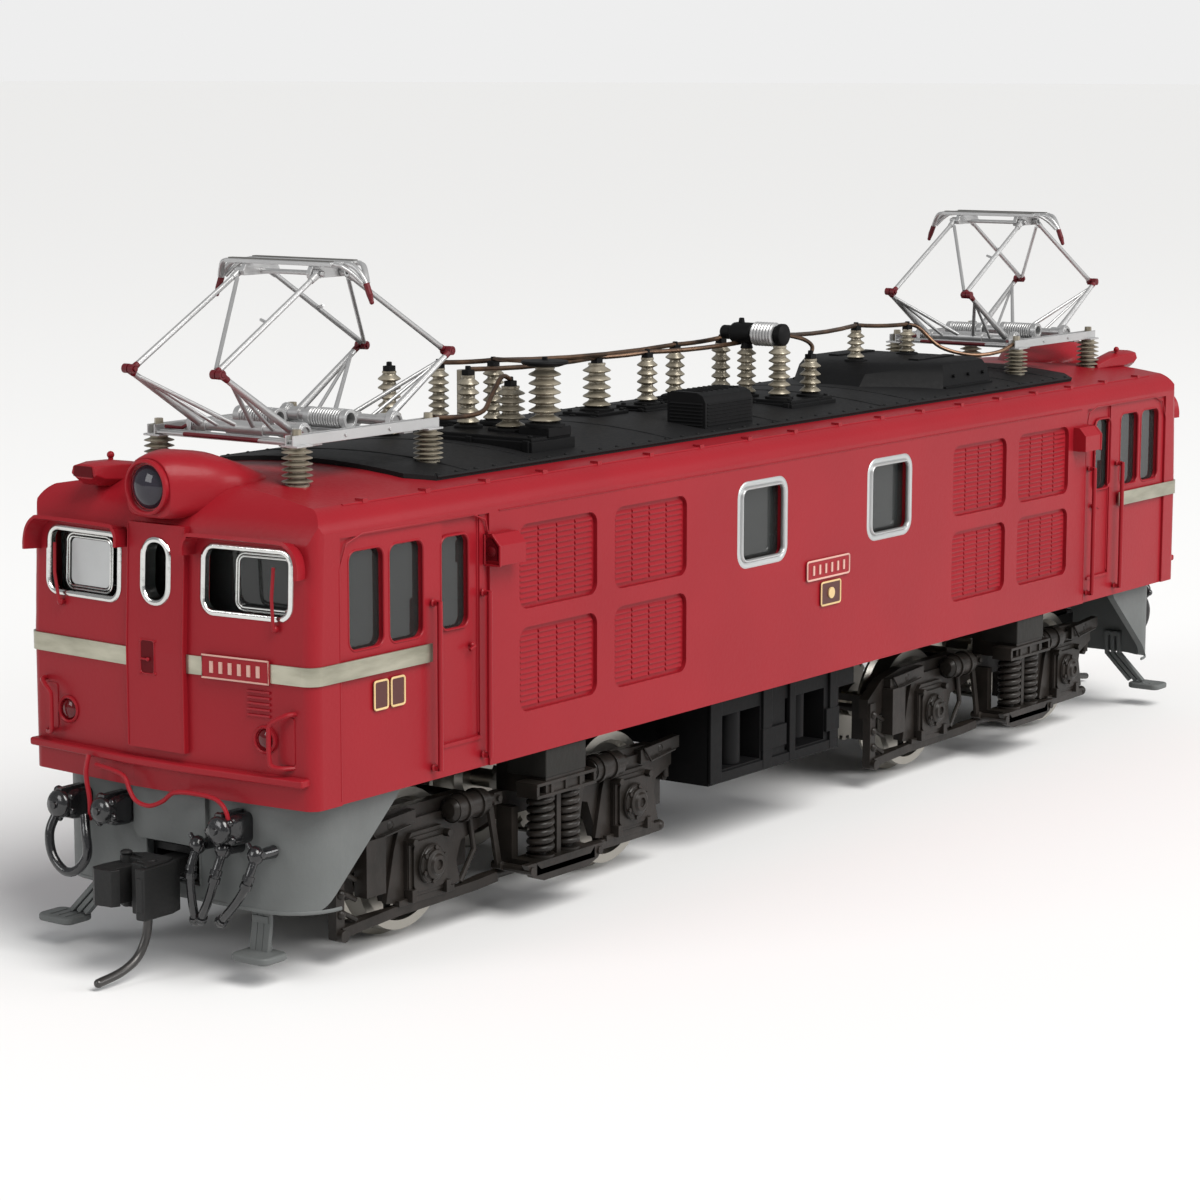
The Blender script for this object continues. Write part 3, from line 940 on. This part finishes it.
def couplers():
    """Square-jawed knuckle couplers with a drooping steel trip pin."""
    for end, side in ENDS:
        shape = Shape(at(side))
        head = [(-86.9, -2.4), (-86.9, 1.6), (-88.0, 3.2), (-89.0, 3.2), (-89.0, 0.6), (-90.6, 0.2),
                (-90.6, -1.4), (-92.2, -1.8), (-92.2, -2.9), (-88.4, -2.9)]
        shape.prism(head, "Z", 6.2, 11.0)
        shape.prism([(-87.3, -2.0), (-87.3, 1.3), (-88.3, 2.6), (-88.7, 0.4), (-90.3, -0.2), (-90.3, -1.2),
                     (-91.4, -1.9), (-91.6, -2.6), (-88.6, -2.5)], "Z", 10.9, 11.2)
        shape.block((-87.9, -83.4), (-1.2, 1.2), (9.1, 10.6))
        eye = [(0.82, 0), (1.7, 0), (1.7, 1.5), (0.82, 1.5)]
        shape.lathe(eye, (-79.0, 0, 9.1), (0, 0, 1), 24, loop=True)
        shape.block((-84.4, -79.6), (-1.2, 1.2), (9.15, 10.55))
        shape.rod((-89.6, -1.5, 11.0), (-89.6, -1.5, 11.35), 0.5, 0.45, 12)
        shape.block((-92.3, -91.8), (-2.75, -1.95), (7.0, 10.2))
        shape.done(f"coupler_jaw_{end}", f"coupler_{end}", MOULDED, "coupler_black",
                   [f"coupler_head_{end}"], 0.14)
        pin = Shape(at(side))
        path = smooth([(-89.3, -0.6, 7.2), (-89.35, -0.6, 5.4), (-89.7, -0.5, 3.6), (-90.7, -0.35, 2.1),
                       (-92.6, -0.2, 1.2), (-95.3, 0.0, 0.75)])
        pin.sweep(path, 0.42, sides=14)
        pin.ball(path[-1], 0.42, (1, 0, 0))
        pin.done(f"trip_pin_{end}", f"coupler_{end}", STEEL_DARK, "coupler_black", angle=60)
        shape = Shape(at(side))
        jaw = [(-89.2, 3.6), (-90.6, 3.75), (-92.0, 3.7), (-92.6, 2.9), (-92.4, 1.0), (-91.6, 0.6),
               (-91.4, 1.4), (-90.2, 1.1), (-88.6, 1.0), (-87.9, 1.6), (-87.8, 2.6), (-88.3, 3.3)]
        shape.prism(jaw, "Z", 7.0, 10.4)
        shape.rod((-89.0, 2.3, 6.3), (-89.0, 2.3, 11.35), 0.45, sides=16)
        shape.ball((-89.0, 2.3, 11.35), 0.6, flat=0.5)
        shape.done(f"coupler_jaw_half_{end}", f"knuckle_{end}", MOULDED, "coupler_black",
                   [f"coupler_knuckle_{end}"], 0.16)


def underfloor():
    """Pillars, tanks and pipes in and around the underfloor boxes."""
    shape = Shape()
    for x, half in ((-18.2, 1.1), (-8.2, 0.9), (-3.2, 0.6), (5.2, 0.7)):
        shape.block((x - half, x + half), (-15.3, -14.8), (7.6, 16.8))
    shape.block((-19.0, 6.4), (-15.25, -14.9), (7.5, 8.6))
    shape.block((-9.2, -4.5), (-15.35, -14.9), (9.6, 12.0))
    shape.block((3.7, 6.4), (-15.35, -14.9), (9.6, 12.2))
    shape.rod((-13.2, -13.4, 8.8), (-13.2, -13.4, 14.6), 1.3, sides=20)
    shape.rod((-0.4, -13.6, 9.6), (-0.4, -13.6, 14.6), 1.1, sides=20)
    for x in (-16.6, -9.8):
        shape.block((x - 0.3, x + 0.3), (-12.6, -12.2), (8.8, 14.6))
    shape.rod((6.8, -12.4, 15.3), (9.8, -12.4, 15.3), 0.8, 0.8, 16)
    shape.mirrored("Y").done("underfloor_ribs", "body", BLACK, "black_box", bevel=0.08)


# Places in a bogie: the axles' x is from its own middle, the rest is in the row frame.
AXLES, AXLE_Z, SPRING_Y = (-16.75, 16.75), 7.7, -15.5


def coil(shape, x, y, low, high, radius, wire, turns):
    """An upright coil spring in twelve steps a turn."""
    steps = 12 * turns
    points = [(x + radius * math.cos(2 * math.pi * i / 12), y + radius * math.sin(2 * math.pi * i / 12),
               low + wire + (high - low - 2 * wire) * i / steps) for i in range(steps + 1)]
    shape.sweep(points, wire, sides=8)


def bogies():
    """Springs between their seats, side frame castings and bolster ends of both bogies."""
    for end, side in ENDS:
        body, place = f"bogie_{end}", at(side, 47.4, turned=False)
        shape = Shape(place)
        for x in (-2.1, 2.1):
            coil(shape, x, SPRING_Y, 5.9, 12.2, 1.08, 0.36, 7)
            shape.rod((x, SPRING_Y, 6.0), (x, SPRING_Y, 12.1), 0.62, sides=16)
            for z in (5.75, 11.95):
                shape.rod((x, SPRING_Y, z), (x, SPRING_Y, z + 0.4), 1.45, sides=20)
        shape.mirrored("Y").done(f"bogie_coils_{end}", body, BOGIE, "spring_dark", [f"bogie_springs_{end}"],
                                 angle=60)
        shape = Shape(place)
        bogie_castings(shape)
        shape.mirrored("Y").done(f"bogie_castings_{end}", body, BOGIE, "bogie_brown", bevel=0.07)
        shape = Shape(place)
        shape.block((-3.3, 3.3), (-17.1, -12.3), (14.0, 16.9))
        shape.mirrored("Y").done(f"bolster_end_{end}", body, BOLSTER, "bogie_brown", bevel=0.12)


def bogie_castings(shape):
    """Castings on one side frame, drawn on its -Y side about the bogie's middle."""
    face = -12.1
    for x in AXLES:
        # pedestal wings that slope down to the axlebox
        wing = [(x - 5.6, 4.7), (x - 4.4, 9.6), (x - 3.4, 12.2), (x + 3.4, 12.2), (x + 4.4, 9.6),
                (x + 5.6, 4.7), (x + 3.9, 4.4), (x - 3.9, 4.4)]
        shape.prism(wing, "Y", face - 0.45, face + 0.1)
        # stepped square cover with a round hub, nut ring and bolts
        for half, out in ((2.9, 1.05), (2.45, 1.3)):
            outline = rounded(2 * half, 2 * half, 0.8, (x, AXLE_Z), 4)
            shape.prism(outline, "Y", face - out, face)
        hub = ((0.05, 0), (1.95, 0), (1.95, 0.35), (1.7, 0.6), (1.45, 0.6), (1.4, 0.9), (1.05, 1.0),
               (0.9, 1.25), (0.5, 1.25), (0.45, 1.0), (0.05, 1.0))
        shape.lathe(hub, (x, face - 1.2, AXLE_Z), (0, -1, 0), 28)
        for i in range(6):
            angle = math.pi / 3 * i + 0.4
            u, v = x + 1.62 * math.cos(angle), AXLE_Z + 1.62 * math.sin(angle)
            shape.rod((u, face - 1.5, v), (u, face - 2.0, v), 0.26, sides=6)
        for dx in (-2.6, 2.6):
            shape.block((x + dx - 0.35, x + dx + 0.35), (face - 1.5, face - 0.5), (4.4, 5.6))
            shape.rod((x + dx, face - 0.8, 10.2), (x + dx, face - 1.7, 10.2), 0.4, sides=6)
        shape.block((x - 4.2, x + 4.2), (face - 0.9, face - 0.1), (4.15, 4.75))
    # upper wing with its folded lip, outboard of each axlebox
    for low, high in ((-26.0, -18.4), (18.6, 25.6)):
        shape.prism([(low, 11.2), (high, 11.9), (high, 13.2), (low, 12.7)], "Y", face - 0.9, face)
        fold = [(low + 0.4, face - 1.0, 12.9), (low + 1.4, face - 1.2, 11.4), (high - 1.2, face - 1.2, 11.9)]
        shape.sweep(fold, 0.14, 0.14, sides=8)
        shape.ball(((low + high) / 2, face - 0.6, 12.3), 0.7, (0, 1, 0), 0.6)
    # brake cylinders with two raised bands, a domed end and a fork to the lever
    cylinder = [(0.05, -0.5), (0.8, -0.4), (1.2, 0.0), (1.3, 0.3), (1.3, 4.6), (1.1, 4.9), (0.5, 5.0),
                (0.45, 6.6), (0.05, 6.6)]
    band = [(1.25, -0.22), (1.5, -0.2), (1.5, 0.2), (1.25, 0.22)]
    for x0, way in ((-13.6, 1), (13.6, -1)):
        shape.lathe(cylinder, (x0, -13.4, 12.3), (way, 0, 0), 24)
        for along in (1.5, 3.7):
            shape.lathe(band, (x0 + way * along, -13.4, 12.3), (1, 0, 0), 24, loop=True)
        shape.block(sorted((x0 + way * 6.2, x0 + way * 7.4)), (-13.9, -12.9), (11.7, 12.9))
        shape.rod((x0 + way * 6.8, -14.2, 12.3), (x0 + way * 6.8, -12.4, 12.3), 0.35, sides=8)
    # slack levers and thin pull rods beside the springs
    for x0, x1 in ((-7.6, -6.0), (8.0, 6.4)):
        shape.sweep([(x0, -13.2, 12.8), (x1, -13.3, 5.2)], 0.36, 0.2, square=True, up=(0, 1, 0))
        shape.rod((x1, -13.8, 5.4), (x1, -12.6, 5.4), 0.42, sides=10)
    shape.sweep([(-9.6, face - 0.3, 11.6), (-8.8, face - 0.3, 7.4), (-11.0, face - 0.3, 4.6)], 0.3, sides=8)
    # equaliser beam with cut windows over the springs
    for z in (12.35, 13.55):
        shape.block((-4.9, 4.9), (-17.25, -14.6), (z - 0.16, z + 0.16))
    for x in (-4.7, -2.35, 0.0, 2.35, 4.7):
        shape.block((x - 0.22, x + 0.22), (-17.2, -14.7), (12.3, 13.6))
    shape.block((-0.35, 0.35), (-16.2, -15.0), (5.8, 12.4))
    # spring plank with a drooped middle, and its end pins
    plank = [(-6.4, 5.9), (-5.4, 4.5), (-3.6, 3.9), (3.6, 3.9), (5.4, 4.5), (6.4, 5.9), (4.9, 5.9),
             (4.1, 5.2), (-4.1, 5.2), (-4.9, 5.9)]
    shape.prism(plank, "Y", -17.1, -16.4)
    for x in (-5.6, 5.6):
        shape.rod((x, -17.3, 5.2), (x, -13.6, 5.2), 0.42, sides=10)
    # low safety beam along the whole frame and the outer guard with its webs
    beam = [(-28.7, -12.2, 3.2), (-21.0, -12.3, 3.7), (-9.0, -12.5, 3.9), (-6.2, -13.0, 4.3)]
    shape.sweep(beam, 0.42, 0.5, square=True)
    shape.sweep([(6.2, -13.0, 4.3), (9.0, -12.5, 3.9), (22.6, -12.3, 3.9)], 0.42, 0.5, square=True)
    shape.ball((22.8, -12.3, 3.9), 0.62, (1, 0, 0), 1.1, 12)
    shape.block((-29.4, -28.2), (-12.4, -11.4), (2.6, 10.2))
    shape.rod((-28.8, -13.0, 3.0), (-28.8, -11.4, 3.0), 0.6, sides=12)
    for z in (5.0, 6.9, 8.8):
        shape.ball((-28.7, -12.4, z), 0.5, (0, 1, 0), 0.8, 10)
        shape.sweep([(-28.2, -12.2, z), (-26.6, -12.4, z - 0.9)], 0.26, sides=8)


# ---------------------------------------------------------------- pantographs
# PANTO_X is a pantograph's middle; a lower frame's shaft and knee and an upper frame's top are (x, z)
# with x from that middle.
PANTO_X, SHAFT, KNEE, TOP = 67.5, (-6.6, 49.2), (-16.5, 55.2), (-1.9, 63.5)
PAN_Z = 64.7


def u_rail(shape, axis, reach, middle, high, wall, bed):
    """An open-topped channel 1 mm wide along axis, as far as reach both ways, on the insulators."""
    low, outer, inner = 48.4, 0.5, 0.5 - wall
    section = [(middle - outer, low), (middle + outer, low), (middle + outer, high), (middle + inner, high),
               (middle + inner, low + bed), (middle - inner, low + bed), (middle - inner, high),
               (middle - outer, high)]
    shape.prism(section, axis, -reach, reach)


def panto_bases():
    """Base frames with their bearings, raising springs and stay bars."""
    shape, dark = Shape(), Shape()
    for _, side in ENDS:
        shape.to = dark.to = at(side, PANTO_X, turned=False)
        for y in (-8.54, 8.54):
            u_rail(shape, "X", 10.6, y, 49.4, 0.16, 0.16)
            for x in (-9.5, 9.5):
                shape.block((x - 1.1, x + 1.1), (y - 1.0, y + 1.0), (48.3, 48.5))
                shape.rod((x, y, 48.5), (x, y, 49.2), 0.42, sides=6)
            for x in (-3.2, 3.2):
                shape.rod((x, y - 0.62, 48.9), (x, y + 0.62, 48.9), 0.2, sides=8)
        for x in (SHAFT[0], -SHAFT[0]):
            shape.block((x - 0.7, x + 0.7), (-8.5, 8.5), (48.15, 48.42))
            for y in (-6.65, 6.65):
                outline = [(x - 1.1, 48.4), (x + 1.1, 48.4), (x + 0.8, 49.6)]
                outline += [(x + 0.8 * math.cos(a), 49.4 + 0.8 * math.sin(a))
                            for a in (math.pi * i / 6 for i in range(1, 6))] + [(x - 0.8, 49.6)]
                shape.prism(outline, "Y", y - 0.33, y + 0.33)
                bush = [(0.53, -0.5), (0.8, -0.5), (0.8, 0.5), (0.53, 0.5)]
                shape.lathe(bush, (x, y, SHAFT[1]), (0, 1, 0), 20, loop=True)
        for x in (-9.6, 9.6):
            u_rail(shape, "Y", 8.5, x, 48.95, 0.14, 0.15)
        shape.block((-3.0, 3.0), (-8.5, 8.5), (48.38, 48.6))
        for x, y in ((1.6, -5.6), (-1.6, 0.4)):
            drum(shape, x, y)
        dark.sweep([(-10.3, -4.6, 48.7), (-10.3, 4.6, 48.7)], 0.20, sides=10)
        shape.sweep([(-10.3, -8.2, 48.7), (-10.3, 8.2, 48.7)], 0.15, sides=10)
        for y in (-7.4, 7.4):
            dark.sweep([(-9.8, y, 49.2), (-8.0, y * 0.96, 48.9), (-6.9, y * 0.93, 49.3)], 0.18, sides=8)
    shape.done("pantograph_bases", "body", SILVER, "pantograph_metal", ["panto_bases"], 0.05)
    dark.done("pantograph_stay_bars", "body", TIP, "pantograph_metal")


def drum(shape, x, y):
    """A raising spring in its tube: a drum with coil rings and open ends."""
    z, radius, length, turns = 49.7, 0.86, 3.5, 11
    tube = [(0.62, 0), (0.96, 0), (0.96, 0.7), (0.8, 0.8), (0.8, 4.4), (0.96, 4.5), (0.96, 5.2), (0.62, 5.2)]
    shape.lathe(tube, (x, y, z), (0, 1, 0), 26, loop=True)
    rise = length / (2 * math.pi * turns)
    coils = [(x + radius * math.cos(a), y + 0.85 + rise * a, z + radius * math.sin(a))
             for a in (2 * math.pi * i / 14 for i in range(14 * turns + 1))]
    shape.sweep(coils, 0.14, sides=6)
    for end in (y + 0.3, y + 4.9):
        shape.block((x - 0.8, x + 0.8), (end - 0.2, end + 0.2), (48.5, 49.3))


def panto_arms():
    """Tubular frames drawn for the -X side; the other side is the same turned half round."""
    for end, side in ENDS:
        for way in (-1, 1):
            where = "outer" if way == side else "inner"
            turn = Matrix.Rotation(0.0 if way < 0 else math.pi, 4, "Z")
            place = Matrix.Translation((side * PANTO_X, 0, 0)) @ turn
            lower_arm(place, f"lower_{where}_{end}")
            upper_arm(place, f"upper_{where}_{end}")


def lower_arm(place, name):
    """A lower frame: its shaft, two tapering arms with braces, and the red knees."""
    shape, tips = Shape(place), Shape(place)
    sx, sz = SHAFT
    kx, kz = KNEE
    shape.rod((sx, -6.85, sz), (sx, 6.85, sz), 0.5, sides=20)
    shape.rod((sx, -2.3, sz), (sx, 2.3, sz), 0.72, sides=20)
    ring = [(0.26, -0.3), (0.44, -0.3), (0.44, 0.3), (0.26, 0.3)]
    for hand in (-1, 1):
        y = hand * 5.75
        shape.rod((sx, hand * 5.6, sz), (kx + 0.3, y, kz - 0.2), 0.42, 0.28, 14)
        shape.rod((sx, hand * 0.8, sz), (kx + 1.4, hand * 5.7, kz - 0.8), 0.24, 0.2, 10)
        shape.rod((sx - 0.4, hand * 3.4, sz + 0.1), (kx + 1.0, hand * 5.72, kz - 0.55), 0.18, 0.16, 10)
        shape.rod((sx, hand * 4.9, sz), (sx, hand * 6.25, sz), 0.68, sides=20)
        tips.lathe(ring, (kx, y, kz), (0, 1, 0), 18, loop=True)
        tips.rod((kx + 0.36, y, kz - 0.22), (kx + 0.9, y, kz - 0.55), 0.33, 0.31, 12)
        tips.rod((kx, y - hand * 1.15, kz), (kx, y + hand * 0.32, kz), 0.22, sides=12)
    shape.done(f"arm_{name}", f"panto_{name}", SILVER, "pantograph_metal", [f"panto_{name}"], angle=50)
    tips.done(f"knee_{name}", f"panto_{name}", TIP, "pantograph_metal", angle=50)


def upper_arm(place, name):
    """An upper frame: two thin tubes from knee to top, a diagonal between them and a short stay."""
    shape, tips = Shape(place), Shape(place)
    kx, kz = KNEE
    tx, tz = TOP
    eye = [(0.26, -0.28), (0.43, -0.28), (0.43, 0.28), (0.26, 0.28)]
    for hand in (-1, 1):
        low, high = Vector((kx, hand * 5.05, kz)), Vector((tx, hand * 4.8, tz))
        along = (high - low).normalized()
        shape.rod(low + along * 0.42, high - along * 0.42, 0.29, 0.25, 14)
        tips.rod(low + along * 0.36, low + along * 0.75, 0.32, 0.31, 12)
        tips.lathe(eye, low, (0, 1, 0), 18, loop=True)
        shape.lathe(eye, high, (0, 1, 0), 18, loop=True)
        shape.rod(high - along * 1.3, high - along * 0.42, 0.33, 0.36, 12)
    low, high = Vector((kx, -5.05, kz)), Vector((tx, 4.8, tz))
    along = (high - low).normalized()
    shape.rod(low + along * 0.9, high - along * 1.2 + Vector((-0.3, 0, -0.2)), 0.21, 0.21, 10)
    low, high = Vector((kx, -5.05, kz)), Vector((tx, -4.8, tz))
    middle = low + (high - low) * 0.5
    shape.rod(middle, middle + Vector((0.35, 1.1, 0.25)), 0.16, 0.16, 8)
    shape.done(f"arm_{name}", f"panto_{name}", SILVER, "pantograph_metal", [f"panto_{name}"], angle=50)
    tips.done(f"knee_{name}", f"panto_{name}", TIP, "pantograph_metal", angle=50)


def panto_heads():
    """Collector heads: two pans with wear strips, bows and red-tipped horns."""
    for end, side in ENDS:
        place = at(side, PANTO_X, turned=False)
        shape, tips, strips = Shape(place), Shape(place), Shape(place)
        for x in (-1.7, 1.7):
            section = [(x - 0.55, PAN_Z - 0.5), (x + 0.55, PAN_Z - 0.5), (x + 0.55, PAN_Z - 0.14),
                       (x + 0.4, PAN_Z - 0.1), (x - 0.4, PAN_Z - 0.1), (x - 0.55, PAN_Z - 0.14)]
            shape.prism(section, "Y", -6.6, 6.6)
            strips.block((x - 0.34, x + 0.34), (-6.3, 6.3), (PAN_Z - 0.12, PAN_Z))
        for hand in (-1, 1):
            for x in (-1.7, 1.7):
                bow = smooth([(x, hand * 6.4, PAN_Z - 0.3), (x * 0.9, hand * 7.3, PAN_Z - 0.45),
                              (x * 0.55, hand * 8.1, PAN_Z - 1.1), (x * 0.2, hand * 8.8, PAN_Z - 2.0)])
                shape.sweep(bow, 0.32, 0.2, sides=10)
            horn = smooth([(0, hand * 5.8, PAN_Z - 0.35), (0, hand * 7.4, PAN_Z - 0.5),
                           (0, hand * 8.7, PAN_Z - 1.6), (0, hand * 9.4, PAN_Z - 3.1)])
            shape.sweep(horn, 0.27, sides=12)
            tips.sweep(horn[-5:], 0.31, sides=12)
            tips.rod(horn[-1], (0, hand * 9.62, PAN_Z - 3.75), 0.31, 0.21, 12)
            tips.ball((0, hand * 9.62, PAN_Z - 3.75), 0.23)
            shape.block((-1.9, 1.9), sorted((hand * 5.5, hand * 6.5)), (PAN_Z - 0.6, PAN_Z - 0.15))
            y0, y1 = sorted((hand * (4.8 - 0.95), hand * (4.8 - 0.4)))
            shape.prism([(-2.4, 63.05), (2.4, 63.05), (2.6, 63.5), (2.1, PAN_Z - 0.4), (-2.1, PAN_Z - 0.4),
                         (-2.6, 63.5)], "Y", y0, y1)
            shape.rod((TOP[0], hand * 4.2, TOP[1]), (TOP[0], hand * 5.3, TOP[1]), 0.22, sides=12)
            shape.ball((TOP[0], hand * 5.3, TOP[1]), 0.3, (0, 1, 0), 0.7, 12)
        shape.rod((0, -4.2, 63.4), (0, 4.2, 63.4), 0.24, sides=12)
        shape.done(f"collector_{end}", f"panto_head_{end}", SILVER, "pantograph_metal",
                   [f"panto_head_{end}"], 0.05)
        strips.done(f"wear_strips_{end}", f"panto_head_{end}", CARBON, "pantograph_metal", bevel=0.05)
        tips.done(f"horn_tips_{end}", f"panto_head_{end}", TIP, "pantograph_metal", angle=50)


# ---------------------------------------------------------------- the scene
add_camera()
add_stage()
louvre_panels()
side_window_frames()
side_trim()
side_markers()
plates()
front_windows()
headlights()
whistles()
front_fittings()
roof_insulators()
roof_equipment()
bus_bars()
breaker()
pilot_details()
jumpers_and_hoses()
couplers()
underfloor()
bogies()
panto_bases()
panto_arms()
panto_heads()
